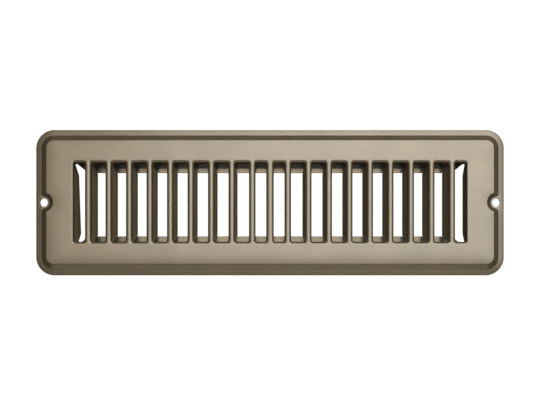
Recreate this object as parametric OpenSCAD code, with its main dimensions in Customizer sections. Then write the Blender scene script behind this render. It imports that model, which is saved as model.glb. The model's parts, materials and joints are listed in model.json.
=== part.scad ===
// Louvred air grille for a floor or wall duct opening.
// A pressed sheet-metal face plate carries a row of slots with turned-down lips. Behind it,
// two side rails and two end plates make the collar that drops into the duct, and slanted
// vanes hang under the bars with their tabs in the side rails.
// Frame: +X runs along the grille, +Y across it, and +Z points out of its face.
// Origin: the middle of the grille, in the plane that the underside of the rim lies in.

/* [Face plate] */
// Length of the face plate, along X
plate_l = 292; // [288:1:300]
// Width of the face plate, along Y
plate_w = 90.8; // [90.6:0.2:100]
// Radius of the face plate's corners
plate_r = 11.5; // [9:0.5:14]
// Thickness of the face plate, the rails and the end plates
sheet_t = 0.8; // [0.6:0.1:1]
// Width of the flat rim round the edge
rim_w = 3.5; // [3:0.1:4]
// Width of the sloped wall between the rim and the raised face, seen from above
wall_w = 3.5; // [2.5:0.1:4]
// Height of the raised face above the underside of the rim
face_h = 4.2; // [3.8:0.1:5]

/* [Screw holes] */
// Distance between the two screw holes
screw_spacing = 282; // [280:0.2:283]
// Diameter of a screw hole
screw_d = 5; // [4:0.2:5.4]
// Radius of the flat seat round a screw hole
seat_r = 3.6; // [3:0.1:4]
// Width of the sloped notch wall round a seat, seen from above
notch_w = 2.6; // [1.5:0.1:2.8]

/* [Slots and bars] */
// Number of bars on each side of the middle bar
side_bars = 9; // [5:1:9]
// Distance from the middle bar to the next one
middle_pitch = 11.05; // [10.5:0.05:12]
// Distance between the other bars
bar_pitch = 12.75; // [12:0.05:12.75]
// Width of a bar
bar_w = 4.1; // [4:0.1:5]
// Width of the middle bar
middle_bar_w = 4.7; // [4:0.1:5.4]
// Width of the slot at each end of the row
end_slot_w = 6.7; // [6:0.1:7.4]
// Length of a slot, along Y
slot_l = 49; // [46:0.1:49.5]
// Corner radius of a slot
slot_r = 1.2; // [1:0.1:2]
// Depth of the lip turned down round a slot, from the face
lip_depth = 2.4; // [2:0.1:2.8]

/* [Collar] */
// Depth of the whole grille, from the face to the bottom of the collar
grille_depth = 15; // [14:0.5:20]
// Gap between the slot lips and the rails
lip_gap = 0.5; // [0.5:0.1:0.8]
// Gap between the slot lips and the left end plate
left_gap = 1.25; // [1.25:0.05:1.5]
// Gap between the slot lips and the right end plate
right_gap = 0.5; // [0.5:0.05:1]
// Width of a rail's ledge under the slots
ledge_w = 5.6; // [4:0.05:5.7]
// Width of the flange that fastens a rail or an end plate under the face
flange_w = 8; // [6:0.5:8]
// Distance that a ledge's outer edge runs past the row of slots at each end
mitre_over = 1; // [0:0.1:1.5]
// Distance that each end of a ledge's inner edge stands back from its outer edge
mitre_run = 6.8; // [5:0.1:8]
// Distance that the rails run past the row of slots at each end
rail_over = 2.5; // [2.2:0.1:4]
// Lean of the left end plate towards the middle, in degrees
left_lean = 10.1; // [0:0.1:10.1]
// Lean of the right end plate towards the middle, in degrees
right_lean = 0; // [0:0.1:8]
// Turn of the left end plate out of square, seen from above, in degrees
left_skew = 2; // [0:0.1:2]
// Half of the lower edge of an end plate
end_foot = 18.5; // [16:0.1:19.5]
// Height of the cut corners of an end plate
end_corner = 5.5; // [5:0.5:12.5]

/* [Vanes] */
// Thickness of a vane
vane_t = 0.7; // [0.5:0.1:0.8]
// Lean of a vane, its lower edge towards the middle, in degrees
vane_lean = 11.2; // [8:0.1:13]
// Gap between a vane's lower edge and the ledge beside it
vane_gap = 0.6; // [0.3:0.1:2]
// Height of the cut corners of a vane
vane_corner = 10; // [8:0.1:11]
// Height of a vane's tab
tab_h = 4; // [3:0.1:5]
// Distance from the top of a vane down to its tabs
tab_drop = 3.5; // [3:0.1:4]
// Length of tab that shows outside a rail
tab_out = 0.9; // [0.5:0.1:1.5]
// Clearance round a tab in its rail, and over a vane's top edge
fit_gap = 0.1; // [0.05:0.05:0.2]

/* [Colour] */
// Brown enamel on every piece
paint = [0.49, 0.44, 0.36];

/* [Hidden] */
$fn = 64;
// Overlap that makes cuts run clean through
cut = 1;

// Heights, from the face down
under_face = face_h - sheet_t;
collar_z = face_h - grille_depth;

// Slope of the outer wall and of the notch walls, and how far their inner surface stands in
rise = face_h - sheet_t;
wall_run = wall_w / rise;
wall_shift = sheet_t * sqrt(1 + wall_run * wall_run) - sheet_t * wall_run;
notch_run = notch_w / rise;
notch_shift = sheet_t * sqrt(1 + notch_run * notch_run) - sheet_t * notch_run;

// Row of slots
function bar_x(n) = n == 0 ? 0 : middle_pitch + (n - 1) * bar_pitch;
slots_end = bar_x(side_bars) + bar_w / 2 + end_slot_w;
function slot_start(n) = n == 0 ? middle_bar_w / 2 : bar_x(n) + bar_w / 2;
function slot_stop(n) = n < side_bars ? bar_x(n + 1) - bar_w / 2 : slots_end;

// Rails and end plates stand just outside the slot lips
leg_y = slot_l / 2 + sheet_t + lip_gap;
function leg_x(gap) = slots_end + sheet_t + gap;
rail_end = slots_end + rail_over;
mitre_x = slots_end + mitre_over;
end_half = leg_y - fit_gap;

// The vanes hang from every bar but the middle three
first_vane_bar = 2;
vane_count = side_bars - first_vane_bar + 1;
vane_half = leg_y - 2 * fit_gap;
vane_foot = leg_y - ledge_w - vane_gap;
vane_drop = sin(vane_lean) * vane_t / 2;
vane_len = (under_face - fit_gap - collar_z - 2 * vane_drop) / cos(vane_lean);
tab_reach = leg_y + sheet_t + tab_out;

// ---- Shared shapes ----

// Flat rectangle with round corners, centred on the origin
module rounded_rect(l, w, r) {
    square([l - 2 * r, w], center = true);
    square([l, w - 2 * r], center = true);
    for (sx = [-1, 1], sy = [-1, 1])
        translate([sx * (l / 2 - r), sy * (w / 2 - r)]) circle(r);
}

// Block with round corners whose walls slope in by inset from its bottom to its top
module sloped_block(l, w, r, inset, h) {
    for (sx = [-1, 1], sy = [-1, 1])
        translate([sx * (l / 2 - r), sy * (w / 2 - r), 0]) cylinder(h, r, r - inset);
    rotate([90, 0, 90]) linear_extrude(l - 2 * r, center = true) trapezium(w, inset, h);
    rotate([90, 0, 0]) linear_extrude(w - 2 * r, center = true) trapezium(l, inset, h);
}

module trapezium(base, inset, h)
    polygon([[-base / 2, 0], [base / 2, 0], [base / 2 - inset, h], [inset - base / 2, h]]);

// Places a child at the foot of both screw holes
module at_screws()
    for (side = [-1, 1]) translate([side * screw_spacing / 2, 0, 0]) children();

// Outlines of all the slots, each grown by a margin
module slot_outlines(grow)
    for (side = [-1, 1], n = [0 : side_bars]) {
        middle = (slot_start(n) + slot_stop(n)) / 2;
        width = slot_stop(n) - slot_start(n);
        translate([side * middle, 0])
            rounded_rect(width + 2 * grow, slot_l + 2 * grow, slot_r + grow);
    }

// Upright blade in the plane across X: half its top edge, half its foot, its length down
// from the origin, and the height of its cut lower corners
module blade(top, foot, length, corner, t)
    rotate([90, 0, 90]) linear_extrude(t, center = true)
        polygon([
            [-top, 0], [top, 0], [top, corner - length],
            [foot, -length], [-foot, -length], [-top, corner - length]
        ]);

// ---- Face plate ----

// Rim and raised face, still solid underneath
module plate_outside() {
    linear_extrude(sheet_t) rounded_rect(plate_l, plate_w, plate_r);
    translate([0, 0, sheet_t])
        sloped_block(plate_l - 2 * rim_w, plate_w - 2 * rim_w, plate_r - rim_w, wall_w, rise);
}

// Space under the raised face, which keeps clear of the two screw notches
module plate_hollow() {
    inset = rim_w + wall_shift;
    difference() {
        sloped_block(
            plate_l - 2 * inset, plate_w - 2 * inset, plate_r - inset,
            wall_run * under_face, under_face
        );
        at_screws() cylinder(
            under_face, seat_r + notch_shift, seat_r + notch_shift + notch_run * under_face
        );
    }
}

// Sloped cut that leaves a flat seat round a screw hole
module screw_notch()
    translate([0, 0, sheet_t])
        cylinder(rise + cut, seat_r, seat_r + notch_run * (rise + cut));

module face_plate() color(paint) difference() {
    union() {
        difference() {
            plate_outside();
            plate_hollow();
            at_screws() screw_notch();
        }
        translate([0, 0, face_h - lip_depth])
            linear_extrude(lip_depth - sheet_t / 2) slot_outlines(sheet_t);
    }
    translate([0, 0, face_h - lip_depth - cut])
        linear_extrude(lip_depth + 2 * cut) slot_outlines(0);
    at_screws() translate([0, 0, -cut]) cylinder(sheet_t + 2 * cut, d = screw_d);
}

// ---- Side rails ----

// Strip that makes both tabs of the vane under bar n, or their openings when grown by a margin
module vane_tabs(n, grow)
    translate([bar_x(n), 0, under_face - fit_gap - vane_drop]) rotate([0, vane_lean, 0])
        translate([-vane_t / 2 - grow, -tab_reach - grow, -tab_drop - tab_h - grow])
            cube([vane_t + 2 * grow, 2 * (tab_reach + grow), tab_h + 2 * grow]);

// Rail on the +Y side: a flange under the face, an upright leg, and a mitred ledge under
// the slots
module side_rail() color(paint) difference() {
    union() {
        translate([-rail_end, leg_y, under_face - sheet_t])
            cube([2 * rail_end, flange_w, sheet_t]);
        translate([-rail_end, leg_y, collar_z])
            cube([2 * rail_end, sheet_t, under_face - collar_z]);
        translate([0, 0, collar_z]) linear_extrude(sheet_t)
            polygon([
                [-mitre_x, leg_y + sheet_t], [-mitre_x, leg_y],
                [mitre_run - mitre_x, leg_y - ledge_w], [mitre_x - mitre_run, leg_y - ledge_w],
                [mitre_x, leg_y], [mitre_x, leg_y + sheet_t]
            ]);
    }
    for (side = [0, 1], n = [first_vane_bar : side_bars])
        mirror([side, 0, 0]) vane_tabs(n, fit_gap);
}

// ---- End plates ----

// End plate on the +X side, between the rails' legs, its foot leaning towards the middle.
// The blade starts a little way down in the flange, so that its edge stays under the face.
module end_plate(gap, lean, skew) color(paint)
    translate([leg_x(gap), 0, under_face]) rotate([0, 0, -skew]) {
        length = (grille_depth - sheet_t - sheet_t * sin(lean)) / cos(lean) - sheet_t / 4;
        translate([0, -end_half, -sheet_t]) cube([flange_w, 2 * end_half, sheet_t]);
        rotate([0, lean, 0]) translate([sheet_t / 2, 0, -sheet_t / 4])
            blade(end_half, end_foot, length, end_corner, sheet_t);
    }

// ---- Vanes ----

// Vane under bar n on the +X side
module vane(n) color(paint) {
    translate([bar_x(n), 0, under_face - fit_gap - vane_drop]) rotate([0, vane_lean, 0])
        blade(vane_half, vane_foot, vane_len, vane_corner, vane_t);
    vane_tabs(n, 0);
}

face_plate();
mirror([0, 1, 0]) side_rail();  // side_rail_front
side_rail();  // side_rail_back
mirror([1, 0, 0]) end_plate(left_gap, left_lean, left_skew);  // end_plate_left
end_plate(right_gap, right_lean, 0);  // end_plate_right
for (n = [1 : vane_count]) {
    mirror([1, 0, 0]) vane(first_vane_bar + n - 1);
    vane(first_vane_bar + n - 1);
}
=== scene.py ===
"""Looks of the louvred air grille: detailed sheet-metal pieces, paint, studio light and camera.

Every piece is a bent steel sheet. Its middle or outer surface is built here from rings, strips
and filled panels, and modifiers then give it its thickness and its rounded edges.
"""

import json
import math

import bmesh
import bpy
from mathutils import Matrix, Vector
from mathutils.geometry import delaunay_2d_cdt


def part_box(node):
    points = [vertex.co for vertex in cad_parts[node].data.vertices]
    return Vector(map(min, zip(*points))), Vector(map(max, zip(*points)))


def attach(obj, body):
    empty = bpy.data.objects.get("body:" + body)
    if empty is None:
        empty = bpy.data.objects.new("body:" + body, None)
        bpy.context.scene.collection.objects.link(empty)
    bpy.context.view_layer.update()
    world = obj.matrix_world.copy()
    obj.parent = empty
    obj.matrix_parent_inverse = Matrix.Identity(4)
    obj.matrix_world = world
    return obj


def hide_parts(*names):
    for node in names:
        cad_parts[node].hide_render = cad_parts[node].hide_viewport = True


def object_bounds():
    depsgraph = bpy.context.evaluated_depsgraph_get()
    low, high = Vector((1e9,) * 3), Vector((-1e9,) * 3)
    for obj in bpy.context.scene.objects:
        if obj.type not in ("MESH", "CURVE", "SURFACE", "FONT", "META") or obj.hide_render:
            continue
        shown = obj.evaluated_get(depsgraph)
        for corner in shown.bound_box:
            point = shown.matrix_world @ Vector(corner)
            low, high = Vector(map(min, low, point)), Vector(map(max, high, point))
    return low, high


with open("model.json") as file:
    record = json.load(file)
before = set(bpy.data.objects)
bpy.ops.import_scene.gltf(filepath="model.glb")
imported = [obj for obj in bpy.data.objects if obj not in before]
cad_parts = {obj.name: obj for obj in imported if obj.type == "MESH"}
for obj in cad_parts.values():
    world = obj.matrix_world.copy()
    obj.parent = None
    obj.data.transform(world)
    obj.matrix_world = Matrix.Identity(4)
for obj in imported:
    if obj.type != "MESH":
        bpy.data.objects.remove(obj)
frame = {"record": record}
cad_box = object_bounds()

MM = 0.001

# ---- Sizes, in millimetres ----

# Face plate
SHEET = 0.8            # thickness of the plate, rails and end plates
CORNER_R = 11.5        # outer corner radius
RIM_W = 3.5            # rim, from the edge to the foot of the sloped wall
RIM_LIFT = 0.75        # how much the rim rises from its edge to the wall
RIM_EASE = 0.3         # how much that rise flattens out towards the wall
WALL_W = 3.5           # sloped wall, seen from above
FOOT_BEND = 1.2        # bend radius where the wall leaves the rim
SHOULDER_BEND = 1.6    # bend radius where the wall meets the raised face
CROWN_W = 9.0          # width of the band in which the raised face curves down to the wall
CROWN_DROP = 0.5       # how far that band drops
CROWN_POWER = 2.2      # how much of the drop comes close to the wall
WALL_TAIL = 1.2        # length of rim and of raised face that guides the wall's two bends
RIM_TAIL_RISE = 0.02   # rise of that length of rim
FACE_TAIL_RISE = 0.11  # rise of that length of face

# Screw seats
SEAT_R = 3.6           # radius of the flat seat
NOTCH_W = 2.6          # sloped wall round the seat, seen from above
SCREW_R = 2.5          # radius of the hole
FOOT_FILLET = 2.2      # fillet between the notch and the straight wall, at its foot
TOP_FILLET = 0.7       # least radius of that fillet higher up
FILLET_SHRINK = 0.5    # how much the fillet shrinks for each mm in from the foot

# Slots and bars
BARS = 9               # bars on each side of the middle one
MIDDLE_PITCH = 11.05
BAR_PITCH = 12.75
BAR_W = 4.1
MIDDLE_BAR_W = 4.7
END_SLOT_W = 6.7
SLOT_L = 49.0
SLOT_R = 1.2           # corner radius of a slot at the foot of its lip
CORNER_GROWTH = 0.4    # growth of that radius for each mm of the rounding's width
LIP_DEPTH = 2.4
CREST_W = 0.3          # width of the flat crest of a bar, between its two roundings
END_BEND = 1.9         # width of the rounding at the ends of a slot
OUTER_BEND = 1.0       # width of the rounding along the far side of an end slot
BEND_DEPTH = 1.9       # depth of all the roundings

# Collar
LIP_GAP = 0.5          # gap between the slots' lips and a rail's leg
LEDGE_W = 5.6
FLANGE_W = 8.0
MITRE_OVER = 1.0       # reach of a ledge's root past the end slot
MITRE_RUN = 6.8        # how much shorter the ledge is at each end along its free edge
RAIL_OVER = 2.5        # reach of a rail's leg and flange past the end slot
FOLD_R = 1.2           # bend radius of a rail or end plate, at the middle of its sheet
RELIEF = 0.5           # gap between the end of a ledge's bend and the leg beside it
END_GAP = {"left": 1.25, "right": 0.5}   # gap between the end slot's lip and the end plate
LEAN = {"left": 10.1, "right": 0.0}      # degrees by which the blade leans inwards
SKEW = {"left": 2.0, "right": 0.0}       # degrees by which it is turned about the vertical
END_FOOT = 18.5        # half width of an end plate's foot
END_CORNER = 5.5       # height of its cut corners

# Vanes
VANE_T = 0.7
FIRST_VANE_BAR = 2     # the middle bar and the first one on each side carry no vane
VANE_LEAN = 11.2       # degrees by which a vane's foot leans towards the middle
VANE_GAP = 0.6         # gap between a vane's foot and a ledge's free edge
VANE_CORNER = 10.0     # height of a vane's cut corners
TAB_H = 4.0
TAB_DROP = 3.5         # from a vane's top to its tabs
TAB_OUT = 0.9          # reach of a tab past the rail's leg
FIT_GAP = 0.1          # clearance wherever one piece sits in or beside another

# Sheared edges, rounded by this much
FACE_EDGE = 0.2
COLLAR_EDGE = 0.15
VANE_EDGE = 0.12

# Loose points that carry the curve of the rim and the raised face
RIM_ROWS = (0.5, 1.1, 1.7)   # distances of the rim's rows in from the plate's edge
FACE_GRID = 1.5              # distance between the face's points
HOLE_MARGIN = 0.3            # least distance from a screw hole
WALL_MARGIN = 0.9            # least distance from the wall
NOTCH_MARGIN = 1.4           # least distance from the wall round a screw seat
SLOT_MARGIN = 0.6            # least distance from a slot's rounding

# Steps along the outlines and round the bends
WALL_SIDE_STEPS = 16
WALL_CORNER_STEPS = 14
WALL_LONG_STEPS = 30
EDGE_SIDE_STEPS = 26
EDGE_CORNER_STEPS = 18
EDGE_LONG_STEPS = 60
NOTCH_STEPS = 10
FILLET_STEPS = 5
HOLE_STEPS = 40
SLOT_SIDE_STEPS = 12
SLOT_CORNER_STEPS = 8
SLOT_END_STEPS = 2
LIP_STEPS = 7
BEND_STEPS = 6
RAIL_STEPS = 48
END_STEPS = 8

# ---- Sizes that follow from the frame and from those above ----

plate_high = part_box("face_plate")[1] / MM
HALF_L = plate_high.x
HALF_W = plate_high.y
FACE_Z = plate_high.z
COLLAR_Z = cad_box[0].z / MM
UNDER_FACE = FACE_Z - SHEET
RIM_FOOT_Z = SHEET + RIM_LIFT
WALL_TOP_Z = FACE_Z - CROWN_DROP

screw_mount = next(m for m in frame["record"]["mounts"] if m["name"] == "screw_holes")
SCREW_X = screw_mount["dims"]["spacing_x_mm"] / 2


def bar_x(n):
    """Distance of bar n from the middle of the grille."""
    return 0 if n == 0 else MIDDLE_PITCH + (n - 1) * BAR_PITCH


SLOTS_END = bar_x(BARS) + BAR_W / 2 + END_SLOT_W
LEG_Y = SLOT_L / 2 + SHEET + LIP_GAP
RAIL_END = SLOTS_END + RAIL_OVER
MITRE_X = SLOTS_END + MITRE_OVER
END_HALF = LEG_Y - FIT_GAP
VANE_FOOT = LEG_Y - LEDGE_W - VANE_GAP


# ---- Mesh helpers ----


def arc(cx, cy, rx, ry, start, stop, steps):
    """Points along an elliptical arc, angles in degrees."""
    points = []
    for i in range(steps + 1):
        a = math.radians(start + (stop - start) * i / steps)
        points.append((cx + rx * math.cos(a), cy + ry * math.sin(a)))
    return points


def line(a, b, steps):
    """Points from a towards b, without b."""
    return [
        (a[0] + (b[0] - a[0]) * i / steps, a[1] + (b[1] - a[1]) * i / steps)
        for i in range(steps)
    ]


def rounded_path(points, radii):
    """An open path through points, with each inner corner rounded to its radius."""
    path = [points[0]]
    for before, corner, after, radius in zip(points, points[1:], points[2:], radii):
        corner_v = Vector(corner)
        to_before = (Vector(before) - corner_v).normalized()
        to_after = (Vector(after) - corner_v).normalized()
        half_angle = to_before.angle(to_after) / 2
        centre = corner_v + (to_before + to_after).normalized() * radius / math.sin(half_angle)
        reach = radius / math.tan(half_angle)
        start = corner_v + to_before * reach - centre
        stop = corner_v + to_after * reach - centre
        turn = start.angle_signed(stop)
        for i in range(BEND_STEPS + 1):
            a = -turn * i / BEND_STEPS
            path.append((
                centre.x + start.x * math.cos(a) - start.y * math.sin(a),
                centre.y + start.x * math.sin(a) + start.y * math.cos(a),
            ))
    path.append(points[-1])
    return path


def add_ring(bm, points, z):
    """A closed row of vertices at one height, or at the height that z gives for each point."""
    height = z if callable(z) else lambda x, y: z
    return [bm.verts.new((x * MM, y * MM, height(x, y) * MM)) for x, y in points]


def join_rings(bm, first, second):
    """Quads between two closed rings with as many vertices each."""
    count = len(first)
    for i in range(count):
        j = (i + 1) % count
        bm.faces.new((first[i], first[j], second[j], second[i]))


def join_rows(bm, first, second):
    """Quads between two open rows with as many vertices each."""
    for i in range(len(first) - 1):
        bm.faces.new((first[i], first[i + 1], second[i + 1], second[i]))


def fill(bm, loops, extra, place, plane=("x", "y")):
    """Triangles inside the first loop of vertices and outside the others, which are its holes.

    extra holds further points in that plane, in millimetres, and place turns one of them into
    a position in millimetres.
    """
    same_point = 1e-5
    flat, outlines, known = [], [], []
    for loop in loops:
        start = len(flat)
        for vert in loop:
            flat.append(Vector((getattr(vert.co, plane[0]), getattr(vert.co, plane[1]))) / MM)
            known.append(vert)
        corners = flat[start:]
        turn = sum(a.cross(b) for a, b in zip(corners, corners[1:] + corners[:1]))
        order = list(range(start, len(flat)))
        outlines.append(order if turn > 0 else order[::-1])
    flat += [Vector(p) for p in extra]
    out, _, faces, origins, _, inside = delaunay_2d_cdt(flat, [], outlines, 0, same_point)
    verts = []
    for point, sources in zip(out, origins):
        on_loop = [i for i in sources if i < len(known)]
        if on_loop:
            verts.append(known[on_loop[0]])
        else:
            verts.append(bm.verts.new(Vector(place(point.x, point.y)) * MM))
    for face, outline in zip(faces, inside):
        if outline == [0]:
            bm.faces.new([verts[i] for i in face])


def make_piece(name, bm, thickness, offset, edge, material):
    """An object from a sheet surface, with its thickness and rounded edges in mm.

    The thickness lies below the surface at offset -1, and on both sides of it at offset 0.
    """
    bmesh.ops.recalc_face_normals(bm, faces=bm.faces)
    if sum(face.normal.z * face.calc_area() for face in bm.faces) < 0:
        bmesh.ops.reverse_faces(bm, faces=bm.faces)
    mesh = bpy.data.meshes.new(name)
    for face in bm.faces:
        face.smooth = True
    bm.to_mesh(mesh)
    bm.free()
    piece = bpy.data.objects.new(name, mesh)
    bpy.context.scene.collection.objects.link(piece)
    solid = piece.modifiers.new("thickness", "SOLIDIFY")
    solid.thickness = thickness * MM
    solid.offset = offset
    solid.use_even_offset = True
    solid.use_quality_normals = True
    bevel = piece.modifiers.new("edges", "BEVEL")
    bevel.width = edge * MM
    bevel.segments = 2
    bevel.limit_method = "ANGLE"
    bevel.angle_limit = math.radians(50)
    normals = piece.modifiers.new("normals", "WEIGHTED_NORMAL")
    normals.weight = 80
    mesh.materials.append(material)
    return piece


def stand_for(piece, node):
    """The piece rides on the grille's one body and replaces a CAD node."""
    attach(piece, "root")
    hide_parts(node)


# ---- Paint ----


def node_chain(tree):
    """Short ways to add and link nodes in the tree of a material or of the world."""

    def add(kind, **settings):
        made = tree.nodes.new(kind)
        for key, value in settings.items():
            setattr(made, key, value)
        return made

    def link(a, output, b, socket):
        tree.links.new(a.outputs[output], b.inputs[socket])

    return add, link


def remap(add, link, source, output, span, values):
    """Maps a value from the two ends of span to the two ends of values."""
    mapped = add("ShaderNodeMapRange")
    sockets = ("From Min", "From Max", "To Min", "To Max")
    for socket, end in zip(sockets, (*span, *values)):
        mapped.inputs[socket].default_value = end
    link(source, output, mapped, "Value")
    return mapped


BROWN = (0.30, 0.225, 0.13)


def enamel(name, shade, offset, metallic, roughness, coat):
    """Satin brown enamel: mottled colour, a few specks, orange peel, and varied gloss.

    shade scales the brown, and offset moves the pattern so that no two paints share it. The
    pieces share one enamel: a lower shade paints in shade and a higher one paints in light.
    """
    gloss_spread = 0.04
    material = bpy.data.materials.new(name)
    material.use_nodes = True
    tree = material.node_tree
    add, link = node_chain(tree)
    shader = tree.nodes["Principled BSDF"]
    shader.inputs["Metallic"].default_value = metallic
    shader.inputs["Coat Weight"].default_value = coat
    shader.inputs["Coat Roughness"].default_value = 0.33
    shader.inputs["Coat IOR"].default_value = 1.7

    place = add("ShaderNodeTexCoord")
    shift = add("ShaderNodeMapping")
    shift.inputs["Location"].default_value = offset
    link(place, "Object", shift, "Vector")

    def brown(factor):
        """The paint's own brown, times a factor."""
        return (*[c * shade * factor for c in BROWN], 1)

    def noise(scale, detail, fineness=0.5):
        """Noise with features of about 1 / scale metres."""
        made = add("ShaderNodeTexNoise")
        made.inputs["Scale"].default_value = scale
        made.inputs["Detail"].default_value = detail
        made.inputs["Roughness"].default_value = fineness
        link(shift, "Vector", made, "Vector")
        return made

    def bump(source, strength, height_mm):
        """Raises the surface where the noise is high."""
        made = add("ShaderNodeBump")
        made.inputs["Strength"].default_value = strength
        made.inputs["Distance"].default_value = height_mm * MM
        link(source, "Fac", made, "Height")
        return made

    # Colour: broad mottling, then fine specks in it
    mottle = noise(scale=38, detail=5, fineness=0.6)
    amount = remap(add, link, mottle, "Fac", span=(0.3, 0.7), values=(0.0, 1.0))
    blend = add("ShaderNodeMix", data_type="RGBA")
    blend.inputs["A"].default_value = brown(0.9)
    blend.inputs["B"].default_value = brown(1.1)
    link(amount, "Result", blend, "Factor")

    cells = add("ShaderNodeTexVoronoi")
    cells.inputs["Scale"].default_value = 210
    link(shift, "Vector", cells, "Vector")
    dot = remap(add, link, cells, "Distance", span=(0.05, 0.11), values=(1.0, 0.0))
    patches = noise(scale=95, detail=2)
    some = remap(add, link, patches, "Fac", span=(0.56, 0.62), values=(0.0, 0.45))
    speck = add("ShaderNodeMath", operation="MULTIPLY")
    link(dot, "Result", speck, 0)
    link(some, "Result", speck, 1)
    dusty = add("ShaderNodeMix", data_type="RGBA")
    dusty.inputs["B"].default_value = brown(0.45)
    link(speck, "Value", dusty, "Factor")
    link(blend, "Result", dusty, "A")
    link(dusty, "Result", shader, "Base Color")

    # Gloss
    smears = noise(scale=60, detail=6, fineness=0.65)
    around = (roughness - gloss_spread, roughness + gloss_spread)
    gloss = remap(add, link, smears, "Fac", span=(0.3, 0.7), values=around)
    link(gloss, "Result", shader, "Roughness")

    # Orange peel over a fine grain
    peel = bump(noise(scale=620, detail=2), strength=0.25, height_mm=0.04)
    grain = bump(noise(scale=3200, detail=2), strength=0.3, height_mm=0.008)
    link(peel, "Normal", grain, "Normal")
    link(grain, "Normal", shader, "Normal")
    return material


face_paint = enamel(
    "face_paint", shade=0.5, offset=(0, 0, 0), metallic=0.75, roughness=0.52, coat=1.0,
)
# Painted shade: the rails take the same brown enamel at half the face's shade, darkened to stand
# in for the shade on their ledges under the slots.
rail_paint_painted_shade = enamel(
    "rail_paint_painted_shade", shade=0.25, offset=(0.4, 0.1, 0.2), metallic=0.9, roughness=0.15, coat=0.5,
)
# Painted light: the end plates and vanes take the same brown enamel at about twice the face's
# shade, lightened to stand in for the light they catch.
end_paint_painted_light = enamel(
    "end_paint_painted_light", shade=1.05, offset=(0.2, 0.3, 0.1), metallic=0.45, roughness=0.42, coat=0.25,
)
vane_paint = enamel(
    "vane_paint", shade=1.05, offset=(0.1, 0.5, 0.3), metallic=0.45, roughness=0.42, coat=0.25,
)


# ---- Face plate ----


def wall_quarter(step):
    """Quarter of the wall's outline, step mm in from its foot, from the notch to the long side.

    The straight sides move in by step and the notch round the screw seat grows more slowly.
    """
    side_x = HALF_L - RIM_W - step
    side_y = HALF_W - RIM_W - step
    corner = CORNER_R - RIM_W - step
    notch = SEAT_R + step * NOTCH_W / WALL_W
    fillet = max(TOP_FILLET, FOOT_FILLET - FILLET_SHRINK * step)
    fillet_x = side_x - fillet
    fillet_y = math.sqrt((notch + fillet) ** 2 - (fillet_x - SCREW_X) ** 2)
    meet = math.degrees(math.atan2(fillet_y, fillet_x - SCREW_X))
    path = arc(SCREW_X, 0, notch, notch, 180, meet, NOTCH_STEPS)[:-1]
    path += arc(fillet_x, fillet_y, fillet, fillet, meet - 180, 0, FILLET_STEPS)[:-1]
    path += line((side_x, fillet_y), (side_x, side_y - corner), WALL_SIDE_STEPS)
    path += arc(side_x - corner, side_y - corner, corner, corner, 0, 90, WALL_CORNER_STEPS)[:-1]
    path += line((side_x - corner, side_y), (0, side_y), WALL_LONG_STEPS)
    return path + [(0, side_y)]


def all_round(quarter):
    """A closed outline from the quarter that runs from the +X axis to the +Y axis."""
    top_left = [(-x, y) for x, y in reversed(quarter[:-1])]
    bottom_left = [(-x, -y) for x, y in quarter[1:]]
    bottom_right = [(x, -y) for x, y in reversed(quarter[1:-1])]
    return quarter + top_left + bottom_left + bottom_right


def edge_outline(inset):
    """The plate's outline, inset from its edge."""
    x, y, r = HALF_L - inset, HALF_W - inset, CORNER_R - inset
    quarter = line((x, 0), (x, y - r), EDGE_SIDE_STEPS)
    quarter += arc(x - r, y - r, r, r, 0, 90, EDGE_CORNER_STEPS)[:-1]
    quarter += line((x - r, y), (0, y), EDGE_LONG_STEPS)
    return all_round(quarter + [(0, y)])


def hole_outline(cx):
    """The outline of a screw hole."""
    return arc(cx, 0, SCREW_R, SCREW_R, 0, 360, HOLE_STEPS)[:-1]


def edge_distance(x, y):
    """Distance in from the plate's edge."""
    dx = abs(x) - (HALF_L - CORNER_R)
    dy = abs(y) - (HALF_W - CORNER_R)
    if dx > 0 and dy > 0:
        return CORNER_R - math.hypot(dx, dy)
    return CORNER_R - max(dx, dy)


def rim_z(x, y):
    """Height of the rim and of the flat screw seats."""
    part = min(edge_distance(x, y), RIM_W) / RIM_W
    return SHEET + RIM_LIFT * part * (1 + RIM_EASE - RIM_EASE * part)


def face_z(x, y):
    """Height of the raised face, which curves down towards its edge and the screw notches."""
    from_wall = edge_distance(x, y) - RIM_W - WALL_W
    from_notch = math.hypot(abs(x) - SCREW_X, y) - SEAT_R - NOTCH_W
    inside = min(from_wall, from_notch)
    part = max(0.0, 1 - max(inside, 0.0) / CROWN_W)
    return FACE_Z - CROWN_DROP * part ** CROWN_POWER


def bar_width(n):
    """Width of bar n, counted from the middle one."""
    return MIDDLE_BAR_W if n == 0 else BAR_W


def bar_bend(n):
    """Width of the rounding on each side of bar n."""
    return (bar_width(n) - CREST_W) / 2


def slots():
    """Each slot's lower and upper x, and the widths of the roundings along these two sides."""
    for n in range(BARS + 1):
        near, near_bend = bar_x(n) + bar_width(n) / 2, bar_bend(n)
        far, far_bend = SLOTS_END, OUTER_BEND
        if n < BARS:
            far, far_bend = bar_x(n + 1) - bar_width(n + 1) / 2, bar_bend(n + 1)
        yield -far, -near, far_bend, near_bend
        yield near, far, near_bend, far_bend


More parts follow.
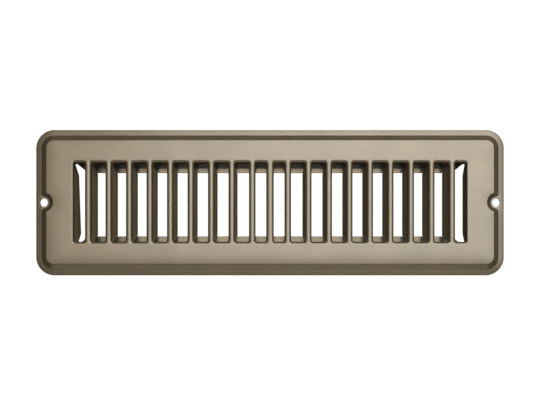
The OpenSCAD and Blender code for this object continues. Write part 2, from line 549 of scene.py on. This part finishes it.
def slot_outline(slot, part):
    """A slot's outline, moved out by a part of the width of each of its roundings."""
    low, high, low_bend, high_bend = slot
    middle = (low + high) / 2
    y = SLOT_L / 2 + END_BEND * part

    def half(width, out):
        """The half outline on one side, from the middle of that side to the slot's axis."""
        x = width + out
        rx = SLOT_R + CORNER_GROWTH * out
        ry = SLOT_R + CORNER_GROWTH * END_BEND * part
        points = line((x, 0), (x, y - ry), SLOT_SIDE_STEPS)
        points += arc(x - rx, y - ry, rx, ry, 0, 90, SLOT_CORNER_STEPS)[:-1]
        return points + line((x - rx, y), (0, y), SLOT_END_STEPS) + [(0, y)]

    right = half(high - middle, high_bend * part)
    left = half(middle - low, low_bend * part)
    outline = right + [(-x, y) for x, y in reversed(left[:-1])]
    outline += [(-x, -y) for x, y in left[1:]]
    outline += [(x, -y) for x, y in reversed(right[1:-1])]
    return [(middle + x, y) for x, y in outline]


def slot_lip(bm, slot):
    """The lip turned down round one slot. Returns its top ring, which lies in the face."""
    ring = add_ring(bm, slot_outline(slot, 0), FACE_Z - LIP_DEPTH)
    for i in range(LIP_STEPS + 1):
        a = math.radians(90 * i / LIP_STEPS)
        z = FACE_Z - BEND_DEPTH * (1 - math.sin(a))
        above = add_ring(bm, slot_outline(slot, 1 - math.cos(a)), z)
        join_rings(bm, ring, above)
        ring = above
    return ring


def wall_profile():
    """Steps in from the wall's foot and heights, with both bends rounded."""
    sharp = [
        (-WALL_TAIL, RIM_FOOT_Z - RIM_TAIL_RISE), (0, RIM_FOOT_Z),
        (WALL_W, WALL_TOP_Z), (WALL_W + WALL_TAIL, WALL_TOP_Z + FACE_TAIL_RISE),
    ]
    return rounded_path(sharp, (FOOT_BEND, SHOULDER_BEND))


def grid_points(step, keep):
    """Staggered points all over the plate that keep() accepts."""
    rows = int(HALF_W / step)
    columns = int(HALF_L / step)
    for row in range(-rows, rows + 1):
        for column in range(-columns, columns + 1):
            x = (column + 0.5 * (row % 2)) * step
            y = row * step
            if keep(x, y):
                yield x, y


def clear_of_slots(x, y):
    """Whether a point of the face keeps its distance from every slot's rounding."""
    if abs(y) > SLOT_L / 2 + END_BEND + SLOT_MARGIN:
        return True
    return all(
        x < low - low_bend - SLOT_MARGIN or x > high + high_bend + SLOT_MARGIN
        for low, high, low_bend, high_bend in slots()
    )


def build_face_plate():
    """The pressed plate: rim with two screw holes, sloped wall, and raised face with its slots."""
    bm = bmesh.new()
    profile = wall_profile()
    wall = [add_ring(bm, all_round(wall_quarter(step)), z) for step, z in profile[1:-1]]
    for below, above in zip(wall, wall[1:]):
        join_rings(bm, below, above)

    edge = add_ring(bm, edge_outline(0), rim_z)
    holes = [add_ring(bm, hole_outline(side * SCREW_X), rim_z) for side in (-1, 1)]
    rim_points = [
        (x, y) for inset in RIM_ROWS for x, y in edge_outline(inset)
        if math.hypot(abs(x) - SCREW_X, y) > SCREW_R + HOLE_MARGIN
    ]
    fill(bm, [edge, wall[0], *holes], rim_points, lambda x, y: (x, y, rim_z(x, y)))

    lips = [slot_lip(bm, slot) for slot in slots()]
    inner_step = profile[-2][0] + WALL_MARGIN

    def on_face(x, y):
        """Whether a point keeps its distance from the wall, the notches and the slots."""
        return (
            edge_distance(x, y) > RIM_W + inner_step
            and math.hypot(abs(x) - SCREW_X, y) > SEAT_R + NOTCH_W + NOTCH_MARGIN
            and clear_of_slots(x, y)
        )

    face_points = list(grid_points(FACE_GRID, on_face))
    fill(bm, [wall[-1], *lips], face_points, lambda x, y: (x, y, face_z(x, y)))
    return make_piece("face_plate_steel", bm, SHEET, -1, FACE_EDGE, face_paint)


# ---- Side rails ----


def build_side_rail(name, side):
    """A rail from one strip: flange, bend, upright leg with tab openings, bend, and ledge.

    The leg runs past both ends of the mitred ledge.
    """
    bm = bmesh.new()
    half = SHEET / 2
    leg = LEG_Y + half
    top, bottom = UNDER_FACE - half, COLLAR_Z + half
    inner_edge = LEG_Y - LEDGE_W
    path = rounded_path(
        [(LEG_Y + FLANGE_W, top), (leg, top), (leg, bottom), (inner_edge, bottom)],
        (FOLD_R, FOLD_R),
    )
    split = len(path) // 2 - 1

    def row(i):
        """The vertices along the rail at point i of its section."""
        y, z = path[i]
        end = RAIL_END if i <= split else MITRE_X - MITRE_RUN / LEDGE_W * max(0.0, LEG_Y - y)
        return [
            bm.verts.new((end * (2 * k / RAIL_STEPS - 1) * MM, side * y * MM, z * MM))
            for k in range(RAIL_STEPS + 1)
        ]

    rows = [row(i) for i in range(len(path))]
    for i, (first, second) in enumerate(zip(rows, rows[1:])):
        if i != split:
            join_rows(bm, first, second)

    # The leg lies between the two middle rows and has an opening for each vane's tab
    openings = []
    lean = math.radians(VANE_LEAN)
    hang_z = UNDER_FACE - FIT_GAP - math.sin(lean) * VANE_T / 2
    for end in (-1, 1):
        for n in range(FIRST_VANE_BAR, BARS + 1):
            corners = []
            for across, down in ((-1, 0), (1, 0), (1, 1), (-1, 1)):
                u = across * (VANE_T / 2 + FIT_GAP)
                v = TAB_DROP - FIT_GAP + down * (TAB_H + 2 * FIT_GAP)
                x = bar_x(n) + u * math.cos(lean) - v * math.sin(lean)
                z = hang_z - u * math.sin(lean) - v * math.cos(lean)
                corners.append(bm.verts.new((end * x * MM, side * leg * MM, z * MM)))
            openings.append(corners)

    def end_of_leg(sign):
        """The foot of the leg where it runs past the ledge, from the rail's end inwards."""
        relief_x = MITRE_X + RELIEF
        bend_z = path[split + 1][1]
        return [
            bm.verts.new((sign * x * MM, side * leg * MM, z * MM))
            for x, z in ((RAIL_END, COLLAR_Z), (relief_x, COLLAR_Z), (relief_x, bend_z))
        ]

    outline = rows[split] + end_of_leg(1) + list(reversed(rows[split + 1]))
    outline += list(reversed(end_of_leg(-1)))
    fill(bm, [outline, *openings], [], None, plane=("x", "z"))
    return make_piece(name, bm, SHEET, 0, COLLAR_EDGE, rail_paint_painted_shade)


# ---- End plates ----


def build_end_plate(name, side, gap, lean_angle, skew_angle):
    """A flange under the face and a leaning blade whose lower corners are cut off."""
    bm = bmesh.new()
    lean = math.radians(lean_angle)
    skew = math.radians(skew_angle)
    half = SHEET / 2
    leg_x = SLOTS_END + SHEET + gap

    def on_blade(down):
        """The middle of the blade's sheet, down mm along it."""
        x = leg_x + half * math.cos(lean) - down * math.sin(lean)
        return x, UNDER_FACE - half * math.sin(lean) - down * math.cos(lean)

    length = (UNDER_FACE - COLLAR_Z - SHEET * math.sin(lean)) / math.cos(lean)
    flange_z = UNDER_FACE - half
    corner_down = (half - half * math.sin(lean)) / math.cos(lean)
    path = rounded_path(
        [(leg_x + FLANGE_W, flange_z), on_blade(corner_down), on_blade(length - END_CORNER)],
        (FOLD_R,),
    )
    half_widths = [END_HALF] * len(path)
    path.append(on_blade(length))
    half_widths.append(END_FOOT)

    def row(x, z, half_width):
        """One row across the plate, turned out of square about the top of its blade."""
        verts = []
        for i in range(END_STEPS + 1):
            y = half_width * (2 * i / END_STEPS - 1)
            turned_x = leg_x + (x - leg_x) * math.cos(skew) + y * math.sin(skew)
            turned_y = y * math.cos(skew) - (x - leg_x) * math.sin(skew)
            verts.append(bm.verts.new((side * turned_x * MM, turned_y * MM, z * MM)))
        return verts

    rows = [row(x, z, half_width) for (x, z), half_width in zip(path, half_widths)]
    for first, second in zip(rows, rows[1:]):
        join_rows(bm, first, second)
    return make_piece(name, bm, SHEET, 0, COLLAR_EDGE, end_paint_painted_light)


# ---- Vanes ----


def build_vane(name, side, n):
    """A flat blade with cut lower corners and a tab at each end, hung under bar n."""
    bm = bmesh.new()
    lean = math.radians(VANE_LEAN)
    drop = math.sin(lean) * VANE_T / 2
    hang_z = UNDER_FACE - FIT_GAP - drop
    length = (UNDER_FACE - FIT_GAP - COLLAR_Z - 2 * drop) / math.cos(lean)
    half = LEG_Y - 2 * FIT_GAP
    tab = LEG_Y + SHEET + TAB_OUT
    shoulder = length - VANE_CORNER
    tab_foot = TAB_DROP + TAB_H
    run = (half - VANE_FOOT) / VANE_CORNER
    right = [
        (half, 0), (half, TAB_DROP), (tab, TAB_DROP), (tab, tab_foot),
        (half - run * (tab_foot - shoulder), tab_foot), (VANE_FOOT, length),
    ]
    outline = right + [(-y, down) for y, down in reversed(right)]
    verts = []
    for y, down in outline:
        x = side * (bar_x(n) - down * math.sin(lean))
        verts.append(bm.verts.new((x * MM, y * MM, (hang_z - down * math.cos(lean)) * MM)))
    bm.faces.new(verts)
    return make_piece(name, bm, VANE_T, 0, VANE_EDGE, vane_paint)


# ---- Assembly ----

stand_for(build_face_plate(), "face_plate")
for word, side in (("front", -1), ("back", 1)):
    stand_for(build_side_rail(f"rail_{word}_steel", side), f"side_rail_{word}")
for word, side in (("left", -1), ("right", 1)):
    end_plate = build_end_plate(f"end_{word}_steel", side, END_GAP[word], LEAN[word], SKEW[word])
    stand_for(end_plate, f"end_plate_{word}")
    for n in range(FIRST_VANE_BAR, BARS + 1):
        number = n - FIRST_VANE_BAR + 1
        vane = build_vane(f"blade_{word}_{number}", side, n)
        stand_for(vane, f"vane_{word}_{number}")


# ---- Floor, light and camera, in metres ----

FLOOR_HALF = 3.0
WHITE = 1.05           # strength at which the floor and the world show as plain white
WORLD_DIM = 0.02


def build_floor():
    """A pale floor that shows as plain white and throws little light back up."""
    half = FLOOR_HALF
    z = cad_box[0].z
    mesh = bpy.data.meshes.new("floor")
    corners = [(-half, -half, z), (half, -half, z), (half, half, z), (-half, half, z)]
    mesh.from_pydata(corners, [], [(0, 1, 2, 3)])
    floor = bpy.data.objects.new("floor", mesh)
    bpy.context.scene.collection.objects.link(floor)
    material = bpy.data.materials.new("floor_white")
    material.use_nodes = True
    tree = material.node_tree
    tree.nodes.clear()
    add, link = node_chain(tree)
    rays = add("ShaderNodeLightPath")
    seen = add("ShaderNodeEmission")
    seen.inputs["Strength"].default_value = WHITE
    lit = add("ShaderNodeBsdfDiffuse")
    lit.inputs["Color"].default_value = (0.06, 0.058, 0.055, 1)
    mix = add("ShaderNodeMixShader")
    out = add("ShaderNodeOutputMaterial")
    link(rays, "Is Camera Ray", mix, 0)
    link(lit, "BSDF", mix, 1)
    link(seen, "Emission", mix, 2)
    link(mix, "Shader", out, "Surface")
    mesh.materials.append(material)


def build_world():
    """White to the camera, and a dim studio to everything else."""
    world = bpy.data.worlds.new("studio")
    bpy.context.scene.world = world
    world.use_nodes = True
    tree = world.node_tree
    tree.nodes.clear()
    add, link = node_chain(tree)
    rays = add("ShaderNodeLightPath")
    white = add("ShaderNodeBackground")
    white.inputs["Color"].default_value = (1, 1, 1, 1)
    white.inputs["Strength"].default_value = WHITE
    dim = add("ShaderNodeBackground")
    dim.inputs["Color"].default_value = (1, 0.97, 0.93, 1)
    dim.inputs["Strength"].default_value = WORLD_DIM
    mix = add("ShaderNodeMixShader")
    out = add("ShaderNodeOutputWorld")
    link(rays, "Is Camera Ray", mix, 0)
    link(dim, "Background", mix, 1)
    link(white, "Background", mix, 2)
    link(mix, "Shader", out, "Surface")


def softbox(name, place, aim, width, height, power, colour):
    """A rectangular area light that faces a point."""
    light = bpy.data.lights.new(name, "AREA")
    light.shape = "RECTANGLE"
    light.size, light.size_y = width, height
    light.energy = power
    light.color = colour
    lamp = bpy.data.objects.new(name, light)
    lamp.location = place
    lamp.rotation_mode = "QUATERNION"
    lamp.rotation_quaternion = (Vector(aim) - Vector(place)).to_track_quat("-Z", "Y")
    bpy.context.scene.collection.objects.link(lamp)


def build_camera():
    """Looks straight down from above a point just past the front long side."""
    camera = bpy.data.cameras.new("camera")
    camera.lens = 50
    camera.sensor_width = 36
    camera.shift_y = 0.162
    eye = bpy.data.objects.new("camera", camera)
    eye.location = (0, -0.0545, 0.4691)
    bpy.context.scene.collection.objects.link(eye)
    bpy.context.scene.camera = eye


build_floor()
build_world()
softbox(
    "overhead", place=(0.43, 0.58, 1.2), aim=(0.43, 0.58, 0),
    width=1.46, height=1.56, power=28, colour=(0.98, 0.985, 0.95),
)
softbox(
    "left_fill", place=(-0.6, 0.2, 1.2), aim=(-0.6, 0.2, 0),
    width=0.65, height=0.87, power=3, colour=(1, 0.9, 0.76),
)
softbox(
    "front_fill", place=(0, -1.1, 0.45), aim=(0, 0, 0),
    width=1.2, height=0.4, power=2, colour=(1, 0.92, 0.8),
)
build_camera()
bpy.context.scene.view_settings.view_transform = "Standard"
